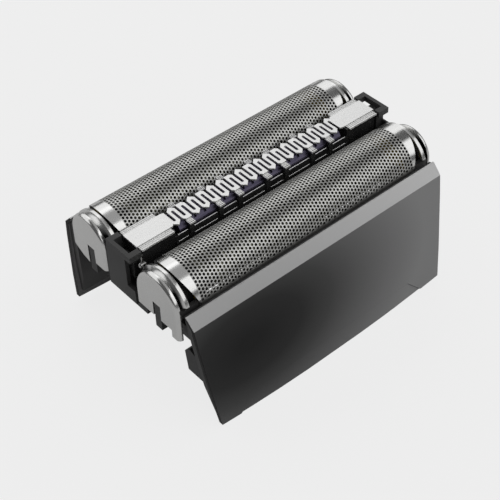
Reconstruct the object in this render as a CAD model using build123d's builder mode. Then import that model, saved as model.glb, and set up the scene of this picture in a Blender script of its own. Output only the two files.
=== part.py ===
from build123d import *
from math import asin, cos, pi, radians, sin, sqrt, tan
import os

# Shaver foil head: two floating foils with their cutters, a middle trimmer, a chassis and two side covers.
# Frame: +X along the foils, +Y to the rear cover, +Z up, in millimetres. The origin is on the surface
# that the covers' lower edges stand on, below the middle of the head.
# The front foil unit is drawn where it sits, and the rear one is the same unit turned half round about Z.

# Foil sheet
foil_radius = 4.5
foil_thickness = 0.12
foil_length = 40.6
foil_leg = 0.5
foil_end_recess = 0.55
foil_sides = 10
opening_columns = 6
opening_pitch = 6.2
opening_web = 1.9
opening_width = 1.0

# Trimmer width, which sets how far apart the foils stand
trimmer_width = 3.9
trimmer_gap = 0.5

# Running clearances
float_gap = 0.3
slide_gap = 0.15
seat_gap = 0.05

# Travel of the floating pieces and stroke of the moving blades
foil_travel = 1.5
trimmer_travel = 1.0
cutter_stroke = 1.0
blade_stroke = 0.8

# Covers
cover_height = 19.2
cover_skin = 0.7
cover_lean = 8.64
cover_setback = 0.5
cover_taper = 1.65
cover_far_taper = 1.25
cover_bulge = 0.85
cover_flat = 10.0
cover_end_bow = 0.4
cover_foot_bow = 0.32
cover_corner = 0.8
band_run = 1.37
band_drop = 1.47
band_edge = 0.24
panel_step = 0.15
panel_step_height = 3.08
panel_step_length = 29.2
panel_step_flare = 3.0

# Chassis
wall_thickness = 1.2
wall_foot = 2.3
wall_foot_thickness = 0.5
wall_inset = 0.25
rim_width = 0.35
rim_drop = 0.15
wall_side_gap = 0.25
wall_shoulder = 0.3
end_wall_thickness = 0.75
end_wall_height = 2.1
shelf_thickness = 0.7
shelf_depth = 2.6
hook_width = 1.2
hook_inset = 1.5
hook_far_inset = 4.0
hook_reach = 3.4
hook_height = 4.25
hook_top_z = 10.95
hook_nose = 1.0
hook_ramp = 0.45
spring_ledge_drop = 0.5
spring_ledge_depth = 5.8
spring_ledge_width = 3.2

# End towers that guide the trimmer
tower_wall = 0.6
tower_wing = 0.3
tower_wing_drop = 1.0
tower_foot = 3.25
tower_foot_reach = 3.5
side_opening = 1.6
side_opening_rise = 0.2
tower_lip_height = 0.9
tower_lip_depth = 1.9
tower_lip_width = 5.0
tower_top_rise = 3.55
pocket_width = 3.2

# Foil frame
foil_axis_drop = 0.75
rail_width = 0.7
rail_height = 1.3
crossbar_height = 0.7
crossbar_width = 1.2
crossbar_drop = 0.5
crossbar_setback = 0.6
frame_plate = 0.6
guide_width = 1.3
guide_length = 4.2
guide_inset = 0.1
catch_height = 0.4
catch_depth = 0.55

# Foil frame end caps
hoop_radius = 4.85
hoop_thickness = 0.45
hoop_width = 0.9
hoop_gap = 0.3
hoop_axis_drop = 1.3
hoop_end_rise = 0.5
neck_radius = 3.9
neck_thickness = 0.5
neck_width = 0.3
cap_plate = 0.7
cap_radius = 4.3
cap_top_rise = 3.3
cap_height = 6.95
cap_edge = 0.5
slant_flank = 3.1
cap_tab_height = 1.2
cap_tab_width = 1.45
cap_slant = 0.8
notch_width = 1.5
notch_height = 2.4

# Cutters
lamella_pitch = 1.6
lamella_count = 22
lamella_thickness = 0.35
lamella_wall = 1.5
lamella_sides = 8
blade_base_height = 0.4
spine_width = 3.0
spine_height = 1.1
end_disc_width = 1.3
end_boss_width = 1.2
end_boss_radius = 3.0
bridge_length = 8.0
bridge_height = 0.9
socket_radius = 1.9
socket_bore = 2.0
socket_depth = 2.2
flange_thickness = 0.6
clip_thickness = 0.6

# Leaf springs
leaf_thickness = 0.15
leaf_runs = 6
cutter_leaf_rise = 0.8
blade_leaf_length = 5.0
trimmer_leaf_length = 4.6
trimmer_leaf_width = 2.2

# Trimmer
tooth_pitch = 1.631
tooth_count = 18
strand_width = 0.42
strand_reach = 1.3
tooth_tip = 0.45
comb_thickness = 0.25
comb_rise = 3.6
plateau_height = 0.15
plateau_width = 2.88
plate_margin = 0.5
rim_reach = 2.3
rim_thickness = 0.2
groove_width = 0.12
groove_depth = 0.1
trimmer_floor = 0.8
blade_top_gap = 0.15
blade_head_height = 1.25
blade_head_width = 3.4
blade_stem_width = 2.2
blade_slope = 0.5
blade_slot_depth = 0.6
drive_arm_length = 3.0
drive_arm_width = 1.4
drive_arm_drop = 2.4
upper_ledge = 1.1
lower_ledge = 2.1
ledge_reach = 0.25
post_width = 0.7
tongue_height = 2.6
tongue_width = 2.6
tab_turns = (1, 4, 6, 9, 11, 14, 16)

# Levels and places that follow from the sizes above
deck_z = cover_height
foil_axis_z = deck_z - foil_axis_drop
axis_y = trimmer_width / 2 + trimmer_gap + foil_radius
unit_y = -axis_y
foil_end_x = foil_length / 2
hoop_in_x = foil_end_x + hoop_gap
hoop_out_x = hoop_in_x + hoop_width
cap_in_x = hoop_out_x + neck_width
cap_out_x = cap_in_x + cap_plate
frame_plate_x = cap_in_x - frame_plate
rail_z = foil_axis_z - foil_leg - seat_gap
rail_top_z = rail_z + rail_height
foil_inner_reach = (foil_radius - foil_thickness) * cos(pi / (2 * foil_sides))
rail_out = sqrt((foil_inner_reach - seat_gap) ** 2 - (rail_top_z - foil_axis_z) ** 2)
rail_in = rail_out - rail_width
crossbar_top_z = rail_z - crossbar_drop
crossbar_z = crossbar_top_z - crossbar_height
crossbar_out_x = foil_end_x - crossbar_setback
crossbar_in_x = crossbar_out_x - crossbar_width
end_wall_out_x = frame_plate_x - slide_gap
end_wall_in_x = end_wall_out_x - end_wall_thickness
end_wall_top_z = rail_z - foil_travel - float_gap
end_wall_z = end_wall_top_z - end_wall_height
shelf_top_z = end_wall_z + shelf_thickness
ledge_top_z = end_wall_top_z - spring_ledge_drop
wall_in_y = axis_y + foil_radius + wall_side_gap
lip_y = wall_in_y + rim_width
band_top_y = lip_y + band_edge
band_low_y = band_top_y + band_run
band_low_z = deck_z - band_drop
cover_half = cap_out_x - cover_setback
cap_low_z = deck_z + cap_top_rise - cap_height
tower_in_x = hoop_in_x + float_gap
tower_out_x = cap_in_x + slide_gap + tower_wing
tower_half_width = axis_y - hoop_radius
tower_wing_reach = axis_y - slant_flank - float_gap
tower_top_z = deck_z + tower_top_rise
tower_lip_z = tower_top_z - tower_lip_height
comb_top_z = deck_z + comb_rise
comb_z = comb_top_z - comb_thickness
rim_z = comb_top_z - plateau_height
comb_half = tower_in_x - seat_gap
trimmer_top_z = rim_z - rim_thickness
trimmer_z = end_wall_top_z + trimmer_travel + float_gap
trimmer_half = tower_in_x - float_gap
trimmer_half_width = trimmer_width / 2
plate_in_x = tooth_pitch / 2 * tooth_count + plate_margin
blade_top_z = trimmer_top_z - blade_top_gap / 2
blade_head_z = blade_top_z - blade_head_height
channel_floor_z = trimmer_z + trimmer_floor
cutter_radius = foil_inner_reach - slide_gap
blade_base_z = rail_top_z - slide_gap
lamella_z = rail_top_z + slide_gap
spine_z = blade_base_z - spine_height
cutter_half = frame_plate_x - cutter_stroke - slide_gap
end_disc_x = cutter_half - end_boss_width - end_disc_width
bridge_z = spine_z - bridge_height
flange_top_z = bridge_z - cutter_leaf_rise - seat_gap


def face_y(z, depth=0.0):
    """Half width of a cover's main face at a height, taken in by a depth square to the face."""
    lean = radians(cover_lean)
    return band_low_y + (band_low_z - z) * tan(lean) - depth / cos(lean)


def outline(inset, left_taper, right_taper):
    """Side view of a cover: a straight top, bowed ends and a lower edge that bulges to a short flat."""
    half = cover_half - inset
    with BuildLine() as edge:
        Line((-half, deck_z), (half, deck_z))
        for end, taper in ((1, right_taper), (-1, left_taper)):
            top = (end * half, deck_z)
            waist = (end * (half - taper * cover_end_bow), deck_z / 2)
            low = (end * (half - taper), cover_bulge)
            flat = (end * cover_flat / 2, 0)
            quarter = ((low[0] + flat[0]) / 2, cover_bulge * cover_foot_bow)
            ThreePointArc(top, waist, low)
            ThreePointArc(low, quarter, flat)
        Line((-cover_flat / 2, 0), (cover_flat / 2, 0))
    make_face(edge.edges())


def block(x, y, z):
    """Box between two limits on each axis, fused to the part in hand."""
    with Locations(((x[0] + x[1]) / 2, (y[0] + y[1]) / 2, (z[0] + z[1]) / 2)):
        Box(abs(x[1] - x[0]), abs(y[1] - y[0]), abs(z[1] - z[0]))


def hollow(x, y, z):
    """Box between two limits on each axis, cut from the part in hand."""
    with Locations(((x[0] + x[1]) / 2, (y[0] + y[1]) / 2, (z[0] + z[1]) / 2)):
        Box(abs(x[1] - x[0]), abs(y[1] - y[0]), abs(z[1] - z[0]), mode=Mode.SUBTRACT)


def disc_segment(y, z, radius, low_z):
    """Part of a circle above a level, in a sketch across the head."""
    with Locations((y, z)):
        Circle(radius)
    with Locations((y, low_z)):
        Rectangle(4 * radius, 4 * radius, align=(Align.CENTER, Align.MAX), mode=Mode.SUBTRACT)


def arch(y, z, outer, inner, low_z):
    """Ring sector above a level, in a sketch across the head."""
    disc_segment(y, z, outer, low_z)
    with Locations((y, z)):
        Circle(inner, mode=Mode.SUBTRACT)


def bow(start, rise, end):
    """Strip bent up in short straight runs between two feet, in a sketch that looks at its edge."""
    under = []
    for run in range(leaf_runs + 1):
        part_way = run / leaf_runs
        across = start[0] + (end[0] - start[0]) * part_way
        under.append((across, start[1] + rise * sin(pi * part_way)))
    over = [(across, height + leaf_thickness) for across, height in reversed(under)]
    with BuildLine() as edge:
        Polyline(*under, *over, close=True)
    make_face(edge.edges())


def half_ring(y, z, radius, low_z, sides):
    """Points round the part of a circle above a level, joined by straight sides."""
    low_angle = asin((low_z - z) / radius)
    step = (pi - 2 * low_angle) / sides
    turns = [low_angle + side * step for side in range(sides + 1)]
    return [(y + radius * cos(turn), z + radius * sin(turn)) for turn in turns]


# Covers: a thin glossy shell with a chamfered band along its top and a shallow step near its foot
cover_section = [
    (band_top_y, deck_z),
    (band_low_y, band_low_z),
    (face_y(0), 0),
    (face_y(0, cover_skin), 0),
    (face_y(band_low_z, cover_skin), band_low_z),
    (lip_y, band_low_z + (face_y(band_low_z, cover_skin) - lip_y) * band_drop / band_run),
    (lip_y, deck_z),
]
face_plane = Plane(
    origin=(0, face_y(0), 0),
    x_dir=(-1, 0, 0),
    z_dir=(0, cos(radians(cover_lean)), cos(radians(90 - cover_lean))),
)
with BuildPart() as rear_cover:
    with BuildSketch(Plane.YZ):
        with BuildLine():
            Polyline(*cover_section, close=True)
        make_face()
    extrude(amount=cover_half, both=True)
    with BuildSketch(Plane.XZ):
        outline(0, cover_far_taper, cover_taper)
    extrude(amount=2 * face_y(0), both=True, mode=Mode.INTERSECT)
    with BuildSketch(face_plane) as panel:
        with BuildLine():
            Polyline(
                (-panel_step_length / 2 - panel_step_flare, 0),
                (-panel_step_length / 2, panel_step_height),
                (panel_step_length / 2, panel_step_height),
                (panel_step_length / 2 + panel_step_flare, 0),
                (panel_step_length / 2 + panel_step_flare, -panel_step_height),
                (-panel_step_length / 2 - panel_step_flare, -panel_step_height),
                close=True,
            )
        make_face()
        fillet(panel.vertices().group_by(Axis.Y)[-1], cover_corner)
    extrude(amount=-panel_step, mode=Mode.SUBTRACT)

with BuildPart() as front_cover:
    add(rear_cover.part.rotate(Axis.Z, 180))


# Chassis: two side walls behind the covers, joined by end walls that carry spring shelves and towers
hook_low_z = hook_top_z - hook_height
wall_section = [
    (wall_in_y, deck_z - rim_drop),
    (lip_y, deck_z - rim_drop),
    (lip_y, band_low_z + (face_y(band_low_z, cover_skin) - lip_y) * band_drop / band_run),
    (face_y(band_low_z, cover_skin), band_low_z),
    (face_y(wall_foot, cover_skin), wall_foot),
    (face_y(wall_foot, cover_skin + wall_foot_thickness), wall_foot),
    (face_y(hook_low_z, cover_skin + wall_thickness), hook_low_z),
    (face_y(band_low_z, cover_skin + wall_thickness), band_low_z),
    (wall_in_y, band_low_z + wall_shoulder),
]
wall_middle = cover_skin + wall_thickness / 2
hook_nose_y = face_y(hook_top_z, cover_skin + wall_thickness) - hook_reach
hook_section = [
    (face_y(hook_top_z, wall_middle), hook_top_z - hook_ramp),
    (hook_nose_y + 2 * hook_nose, hook_top_z - hook_ramp),
    (hook_nose_y + hook_nose, hook_top_z),
    (hook_nose_y, hook_top_z - hook_nose),
    (hook_nose_y + hook_nose / 2, hook_low_z),
    (face_y(hook_low_z, wall_middle), hook_low_z),
]
shelf_in_x = end_wall_in_x - shelf_depth
with BuildPart() as chassis:
    for side in (-1, 1):
        with BuildSketch(Plane.YZ):
            with BuildLine():
                Polyline(*[(side * y, z) for y, z in wall_section], close=True)
            make_face()
        extrude(amount=cover_half, both=True)
    with BuildSketch(Plane.XZ):
        outline(wall_inset, cover_taper, cover_taper)
    extrude(amount=2 * face_y(0), both=True, mode=Mode.INTERSECT)
    for end in (-1, 1):
        for side in (-1, 1):
            hook_out_x = cover_half - (hook_inset if side == end else hook_far_inset)
            with BuildSketch(Plane.YZ.offset(end * (hook_out_x - hook_width / 2))):
                with BuildLine():
                    Polyline(*[(side * y, z) for y, z in hook_section], close=True)
                make_face()
            extrude(amount=hook_width / 2, both=True)
        wall_reach = face_y(end_wall_top_z, wall_middle)
        block(
            (end * end_wall_in_x, end * end_wall_out_x),
            (-wall_reach, wall_reach),
            (end_wall_z, end_wall_top_z),
        )
        shelf_reach = face_y(shelf_top_z, wall_middle)
        block(
            (end * shelf_in_x, end * end_wall_in_x),
            (-shelf_reach, shelf_reach),
            (end_wall_z, shelf_top_z),
        )
        block(
            (end * (end_wall_in_x - spring_ledge_depth), end * end_wall_in_x),
            (-spring_ledge_width / 2, spring_ledge_width / 2),
            (ledge_top_z - shelf_thickness, ledge_top_z),
        )
        lip_out_x = tower_in_x + tower_lip_depth
        block(
            (end * (end_wall_out_x - tower_wall), end * tower_out_x),
            (-tower_half_width, tower_half_width),
            (end_wall_z, tower_lip_z),
        )
        block(
            (end * tower_in_x, end * lip_out_x),
            (-tower_lip_width / 2, tower_lip_width / 2),
            (tower_lip_z, tower_top_z),
        )
        hollow(
            (end * (end_wall_out_x - 2 * tower_wall), end * (tower_out_x - tower_wall)),
            (-pocket_width / 2, pocket_width / 2),
            (end_wall_top_z, tower_lip_z),
        )
        hollow(
            (end * (end_wall_out_x - 2 * tower_wall), end * (lip_out_x - tower_wall)),
            (-pocket_width / 2, pocket_width / 2),
            (tower_lip_z, tower_top_z),
        )
        hollow(
            (end * (end_wall_out_x - tower_wall), end * tower_in_x),
            (-tower_lip_width / 2, tower_lip_width / 2),
            (end_wall_top_z, tower_top_z),
        )
        hollow(
            (end * (end_wall_out_x - 2 * tower_wall), end * tower_out_x),
            (end * (tower_half_width - side_opening), end * tower_half_width),
            (end_wall_top_z + side_opening_rise, tower_lip_z),
        )
        block(
            (end * (tower_out_x - tower_wing), end * tower_out_x),
            (-end * (tower_half_width - side_opening), -end * tower_wing_reach),
            (end_wall_z, tower_lip_z - tower_wing_drop),
        )
        block(
            (end * end_wall_out_x, end * (cap_in_x - slide_gap)),
            (end * tower_foot_reach, -end * tower_wing_reach),
            (end_wall_top_z - tower_foot, end_wall_top_z),
        )


# Foil: a thin sheet arched in narrow flats, with short straight legs and ends cut back below the crown.
# A plain grid of openings stands for its fine holes, between two whole end bands and two whole edge strips.
foil_in_radius = foil_radius - foil_thickness
foil_leg_z = foil_axis_z - foil_leg
foil_outside = half_ring(unit_y, foil_axis_z, foil_radius, foil_axis_z, foil_sides)
foil_inside = half_ring(unit_y, foil_axis_z, foil_in_radius, foil_axis_z, foil_sides)
opening_places = []
for flat in range(1, foil_sides - 1):
    turn = 180 * (flat + 0.5) / foil_sides
    opening_y = unit_y + foil_in_radius * cos(radians(turn))
    opening_z = foil_axis_z + foil_in_radius * sin(radians(turn))
    for column in range(opening_columns):
        opening_x = (column - (opening_columns - 1) / 2) * opening_pitch
        opening_places.append(Location((opening_x, opening_y, opening_z), (turn - 90, 0, 0)))
with BuildPart() as foil:
    with BuildSketch(Plane.YZ):
        with BuildLine():
            Polyline(
                (unit_y + foil_radius, foil_leg_z),
                *foil_outside,
                (unit_y - foil_radius, foil_leg_z),
                (unit_y - foil_in_radius, foil_leg_z),
                *reversed(foil_inside),
                (unit_y + foil_in_radius, foil_leg_z),
                close=True,
            )
        make_face()
    extrude(amount=foil_end_x, both=True)
    with Locations(*opening_places):
        Box(opening_pitch - opening_web, opening_width, 8 * foil_thickness, mode=Mode.SUBTRACT)
    with BuildSketch(Plane.XZ):
        for end in (-1, 1):
            with BuildLine():
                Polyline(
                    (end * foil_end_x, foil_axis_z + foil_radius),
                    (end * (foil_end_x - foil_end_recess), rail_top_z),
                    (end * foil_end_x, rail_top_z),
                    close=True,
                )
            make_face()
    extrude(amount=2 * axis_y, both=True, mode=Mode.SUBTRACT)


# Foil frame: rails inside the foil's legs, crossbars over the springs, end plates and guide ribs
with BuildPart() as foil_frame:
    for side in (-1, 1):
        block(
            (-cap_in_x, cap_in_x),
            (unit_y + side * rail_in, unit_y + side * rail_out),
            (rail_z, rail_top_z),
        )
    for end in (-1, 1):
        block(
            (end * crossbar_in_x, end * crossbar_out_x),
            (unit_y - rail_out, unit_y + rail_out),
            (crossbar_z, crossbar_top_z),
        )
        for side in (-1, 1):
            block(
                (end * crossbar_in_x, end * crossbar_out_x),
                (unit_y + side * rail_in, unit_y + side * rail_out),
                (crossbar_top_z, rail_z),
            )
        with BuildSketch(Plane.YZ.offset(end * (frame_plate_x + cap_in_x) / 2)):
            disc_segment(
                unit_y,
                deck_z - hoop_axis_drop,
                neck_radius - neck_thickness - seat_gap,
                rail_z - foil_travel,
            )
        extrude(amount=frame_plate / 2, both=True)
        block(
            (end * frame_plate_x, end * cap_in_x),
            (unit_y - rail_out, unit_y + rail_out),
            (rail_z, rail_top_z),
        )
        block(
            (end * frame_plate_x, end * (cap_out_x - guide_inset)),
            (unit_y - guide_width / 2, unit_y + guide_width / 2),
            (end_wall_z - catch_height, end_wall_z - catch_height + guide_length),
        )
        block(
            (end * (frame_plate_x - catch_depth), end * frame_plate_x),
            (unit_y - guide_width / 2, unit_y + guide_width / 2),
            (end_wall_z - catch_height, end_wall_z - seat_gap),
        )


def cap_blank(end, flank, plate_points):
    """End cap of a foil frame: a hoop beside the foil, a narrow neck and a round-topped plate."""
    hoop_axis_z = deck_z - hoop_axis_drop
    low_z = deck_z + hoop_end_rise
    with BuildSketch(Plane.YZ.offset(end * hoop_in_x)) as hoop:
        arch(unit_y, hoop_axis_z, hoop_radius, hoop_radius - hoop_thickness, low_z)
    extrude(hoop.sketch, amount=end * hoop_width)
    with BuildSketch(Plane.YZ.offset(end * (hoop_out_x - hoop_thickness / 2))) as shoulder:
        arch(unit_y, hoop_axis_z, hoop_radius - hoop_thickness / 2, neck_radius - neck_thickness, low_z)
    extrude(shoulder.sketch, amount=end * hoop_thickness / 2)
    with BuildSketch(Plane.YZ.offset(end * hoop_out_x)) as neck:
        arch(unit_y, hoop_axis_z, neck_radius, neck_radius - neck_thickness, low_z)
    extrude(neck.sketch, amount=end * neck_width)
    crown_radius = (cap_radius + flank) / 2
    crown_z = deck_z + cap_top_rise
    start = (unit_y - cap_radius, crown_z - crown_radius)
    finish = (unit_y + flank, crown_z - crown_radius)
    with BuildSketch(Plane.YZ.offset(end * cap_in_x)) as plate:
        with BuildLine():
            ThreePointArc(start, ((start[0] + finish[0]) / 2, crown_z), finish)
            Polyline(finish, *plate_points, start)
        make_face()
        with Locations((unit_y, cap_low_z)):
            Rectangle(notch_width, 2 * notch_height, mode=Mode.SUBTRACT)
    extrude(plate.sketch, amount=end * cap_plate)


def crown(plate_face):
    """Arched edge of an end cap's outer face."""
    return plate_face.edges().filter_by(GeomType.CIRCLE)


cap_tab_points = [
    (unit_y + cap_radius, cap_low_z),
    (unit_y - cap_radius + cap_tab_width, cap_low_z),
    (unit_y - cap_radius + cap_tab_width, cap_low_z - cap_tab_height),
    (unit_y - cap_radius, cap_low_z - cap_tab_height),
]
cap_slant_points = [
    (unit_y + slant_flank, cap_low_z),
    (unit_y, cap_low_z),
    (unit_y - notch_width / 2, cap_low_z - cap_slant),
    (unit_y - cap_radius / 2, cap_low_z - cap_slant / 2),
    (unit_y - cap_radius, cap_low_z + cap_slant),
]
with BuildPart() as tab_cap:
    cap_blank(-1, cap_radius, cap_tab_points)
    chamfer(crown(tab_cap.faces().sort_by(Axis.X)[0]), cap_edge)

with BuildPart() as slant_cap:
    cap_blank(1, slant_flank, cap_slant_points)
    chamfer(crown(slant_cap.faces().sort_by(Axis.X)[-1]), cap_edge)


# Cutter blades: a row of half-ring lamellae that stand on one strip
lamella_span = lamella_pitch * (lamella_count - 1)
lamella_edge = half_ring(unit_y, foil_axis_z, cutter_radius, lamella_z, lamella_sides)
lamella_hollow = half_ring(unit_y, foil_axis_z, cutter_radius - lamella_wall, lamella_z, lamella_sides // 2)
with BuildPart() as cutter_blades:
    block(
        (-lamella_span / 2 - lamella_thickness, lamella_span / 2 + lamella_thickness),
        (unit_y - rail_in + slide_gap, unit_y + rail_in - slide_gap),
        (blade_base_z, blade_base_z + blade_base_height),
    )
    for index in range(lamella_count):
        place = index * lamella_pitch - lamella_span / 2
        with BuildSketch(Plane.YZ.offset(place - lamella_thickness / 2)):
            with BuildLine():
                Polyline(*lamella_edge, *reversed(lamella_hollow), close=True)
            make_face()
        extrude(amount=lamella_thickness)


# Cutter carrier: a spine under the blades, a round-topped disc and a boss at each end, and a bridge
carrier_low_half = rail_in - float_gap
with BuildPart() as cutter_carrier:
    block(
        (-end_disc_x, end_disc_x),
        (unit_y - spine_width / 2, unit_y + spine_width / 2),
        (spine_z, blade_base_z),
    )
    for end in (-1, 1):
        with BuildSketch(Plane.YZ.offset(end * (end_disc_x + end_disc_width / 2))):
            disc_segment(unit_y, foil_axis_z, cutter_radius, lamella_z)
            with Locations((unit_y, lamella_z)):
                Rectangle(2 * carrier_low_half, lamella_z - spine_z, align=(Align.CENTER, Align.MAX))
        extrude(amount=end_disc_width / 2, both=True)
        with BuildSketch(Plane.YZ.offset(end * (cutter_half - end_boss_width / 2))):
            disc_segment(unit_y, foil_axis_z, end_boss_radius, rail_z + slide_gap)
        extrude(amount=end_boss_width / 2, both=True)
    block(
        (-bridge_length / 2, bridge_length / 2),
        (unit_y - spine_width / 2, unit_y + spine_width / 2),
        (bridge_z, spine_z),
    )


# Drive socket: a round socket for the shaver's pin under a flange that clips to the bridge
socket_z = flange_top_z - flange_thickness - socket_depth
with BuildPart() as drive_socket:
    block(
        (-bridge_length / 2 - clip_thickness, bridge_length / 2 + clip_thickness),
        (unit_y - spine_width / 2, unit_y + spine_width / 2),
        (flange_top_z - flange_thickness, flange_top_z),
    )
    for end in (-1, 1):
        block(
            (end * bridge_length / 2, end * (bridge_length / 2 + clip_thickness)),
            (unit_y - spine_width / 2, unit_y + spine_width / 2),
            (flange_top_z, spine_z - seat_gap),
        )
    with BuildSketch(Plane.XY.offset(socket_z)):
        with Locations((0, unit_y)):
            Circle(socket_radius)
    extrude(amount=socket_depth)
    with BuildSketch(Plane.XY.offset(socket_z)):
        with Locations((0, unit_y)):
            Circle(socket_bore / 2)
    extrude(amount=socket_depth, mode=Mode.SUBTRACT)


# Cutter spring: a bowed leaf that presses the carrier up from the socket's flange
with BuildPart() as cutter_spring:
    with BuildSketch(Plane.XZ.offset(-unit_y)):
        bow(
            (-bridge_length / 2 + float_gap, flange_top_z + seat_gap / 2),
            cutter_leaf_rise - leaf_thickness,
            (bridge_length / 2 - float_gap, flange_top_z + seat_gap / 2),
        )
    extrude(amount=spine_width / 3, both=True)


# Foil springs: one bowed leaf under each crossbar, standing on the chassis shelf
with BuildPart() as float_springs:
    for end in (-1, 1):
        with BuildSketch(Plane.YZ.offset(end * (crossbar_in_x + crossbar_out_x) / 2)):
            bow(
                (unit_y - rail_in, shelf_top_z + seat_gap / 2),
                crossbar_z - shelf_top_z - seat_gap - leaf_thickness,
                (unit_y + rail_in, shelf_top_z + seat_gap / 2),
            )
        extrude(amount=crossbar_width / 2 - seat_gap, both=True)


# Trimmer springs: one bowed leaf on each chassis ledge, under the ends of the trimmer
with BuildPart() as trimmer_springs:
    for end in (-1, 1):
        centre = end * (end_wall_in_x - spring_ledge_depth / 2)
        with BuildSketch(Plane.XZ):
            bow(
                (centre - trimmer_leaf_length / 2, ledge_top_z + seat_gap / 2),
                trimmer_z - ledge_top_z - seat_gap - leaf_thickness,
                (centre + trimmer_leaf_length / 2, ledge_top_z + seat_gap / 2),
            )
        extrude(amount=trimmer_leaf_width / 2, both=True)


# Trimmer frame: a channel with solid ends, stepped sides, posts with grooved heads and guide tongues
tab_places = [(turn - (tooth_count - 1) / 2) * tooth_pitch - tooth_pitch / 4 for turn in tab_turns]
upper_ledge_z = trimmer_top_z - upper_ledge
lower_ledge_z = trimmer_top_z - lower_ledge
head_slot = blade_head_width / 2 + slide_gap
stem_slot = blade_stem_width / 2 + slide_gap
rail_slot_z = blade_head_z - slide_gap


def grooves(x, side):
    """Fine lines along the top of a grooved rim between two places on X."""
    spare = (rim_reach - plateau_width / 2) / 3
    for line in (1, 2):
        place = plateau_width / 2 + line * spare
        hollow(
            x,
            (side * (place - groove_width / 2), side * (place + groove_width / 2)),
            (rim_z - groove_depth, rim_z),
        )


with BuildPart() as trimmer_frame:
    block(
        (-trimmer_half, trimmer_half),
        (-trimmer_half_width, trimmer_half_width),
        (trimmer_z, lower_ledge_z),
    )
    block(
        (-plate_in_x, plate_in_x),
        (-trimmer_half_width - ledge_reach, trimmer_half_width + ledge_reach),
        (lower_ledge_z - ledge_reach * 2, lower_ledge_z),
    )
    block(
        (-plate_in_x, plate_in_x),
        (-trimmer_half_width - ledge_reach / 3, trimmer_half_width + ledge_reach / 3),
        (lower_ledge_z, upper_ledge_z),
    )
    for end in (-1, 1):
        block(
            (end * plate_in_x, end * trimmer_half),
            (-trimmer_half_width, trimmer_half_width),
            (lower_ledge_z, trimmer_top_z),
        )
        block(
            (end * trimmer_half, end * (tower_out_x - tower_wall - slide_gap)),
            (-tongue_width / 2, tongue_width / 2),
            (trimmer_z + float_gap, trimmer_z + float_gap + tongue_height),
        )
    for place in tab_places:
        for side in (-1, 1):
            block(
                (place - post_width / 2, place + post_width / 2),
                (side * head_slot, side * rim_reach),
                (lower_ledge_z - ledge_reach, rim_z),
            )
    hollow((-plate_in_x, plate_in_x), (-stem_slot, stem_slot), (channel_floor_z, rail_slot_z))
    hollow((-plate_in_x, plate_in_x), (-head_slot, head_slot), (rail_slot_z, rim_z))
    slot_half = drive_arm_length / 2 + blade_stroke + slide_gap
    hollow((-slot_half, slot_half), (-stem_slot, stem_slot), (trimmer_z, channel_floor_z))
    for place in tab_places:
        for side in (-1, 1):
            grooves((place - post_width / 2, place + post_width / 2), side)


def turn_outline(x, side, pointed):
    """One turn of the comb's wave: a bar that joins two strands, with a point on it or blunt."""
    half = tooth_pitch / 4 + strand_width / 2
    reach = tooth_tip if pointed else tooth_tip / 3
    with BuildLine() as edge:
        Polyline(
            (x - half, side * (strand_reach - strand_width)),
            (x - half, side * strand_reach),
            (x - half / 3 if not pointed else x, side * (strand_reach + reach)),
            (x + half, side * strand_reach),
            (x + half, side * (strand_reach - strand_width)),
            close=True,
        )
    make_face(edge.edges())


# Trimmer comb: two flat end plates with grooved rims, joined by a wave of strands with pointed turns
strand_count = 2 * tooth_count + 1
blunt_rear_turns = [tooth_count - 1 - turn for turn in tab_turns]
with BuildPart() as trimmer_comb:
    with BuildSketch(Plane.XY.offset(comb_z)):
        for strand in range(strand_count):
            with Locations(((strand - tooth_count) * tooth_pitch / 2, 0)):
                Rectangle(strand_width, 2 * (strand_reach - strand_width / 2))
        for turn in range(tooth_count):
            centre = (turn - (tooth_count - 1) / 2) * tooth_pitch
            turn_outline(centre - tooth_pitch / 4, -1, turn not in tab_turns)
            turn_outline(centre + tooth_pitch / 4, 1, turn not in blunt_rear_turns)
        for end in (-1, 1):
            with Locations((end * tooth_pitch / 2 * tooth_count, 0)):
                Rectangle(
                    plate_in_x - tooth_pitch / 2 * tooth_count + strand_width,
                    2 * strand_reach,
                    align=(Align.MIN if end > 0 else Align.MAX, Align.CENTER),
                )
    extrude(amount=comb_thickness)
    for end in (-1, 1):
        block(
            (end * plate_in_x, end * comb_half),
            (-plateau_width / 2, plateau_width / 2),
            (trimmer_top_z, comb_top_z),
        )
        rim_x = (end * (plate_in_x + float_gap), end * (comb_half - slide_gap))
        block(rim_x, (-rim_reach, rim_reach), (trimmer_top_z, rim_z))
        for side in (-1, 1):
            grooves(rim_x, side)


# Trimmer blade: a bar with a sloped head and a slot under each gap of the comb, on a narrow stem
blade_half = plate_in_x - blade_stroke - slide_gap
blade_top_half = blade_head_width / 2 - blade_slope
with BuildPart() as trimmer_blade:
    with BuildSketch(Plane.YZ):
        with BuildLine():
            Polyline(
                (-blade_top_half, blade_top_z),
                (blade_top_half, blade_top_z),
                (blade_head_width / 2, blade_top_z - blade_slot_depth),
                (blade_head_width / 2, blade_head_z),
                (-blade_head_width / 2, blade_head_z),
                (-blade_head_width / 2, blade_top_z - blade_slot_depth),
                close=True,
            )
        make_face()
    extrude(amount=blade_half, both=True)
    block(
        (-blade_half, blade_half),
        (-blade_stem_width / 2, blade_stem_width / 2),
        (channel_floor_z + 2 * float_gap, blade_head_z),
    )
    for slot in range(tooth_count - 1):
        place = (slot - (tooth_count - 2) / 2) * tooth_pitch
        hollow(
            (place - strand_width / 2, place + strand_width / 2),
            (-blade_head_width, blade_head_width),
            (blade_top_z - blade_slot_depth / 2, blade_top_z),
        )


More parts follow.
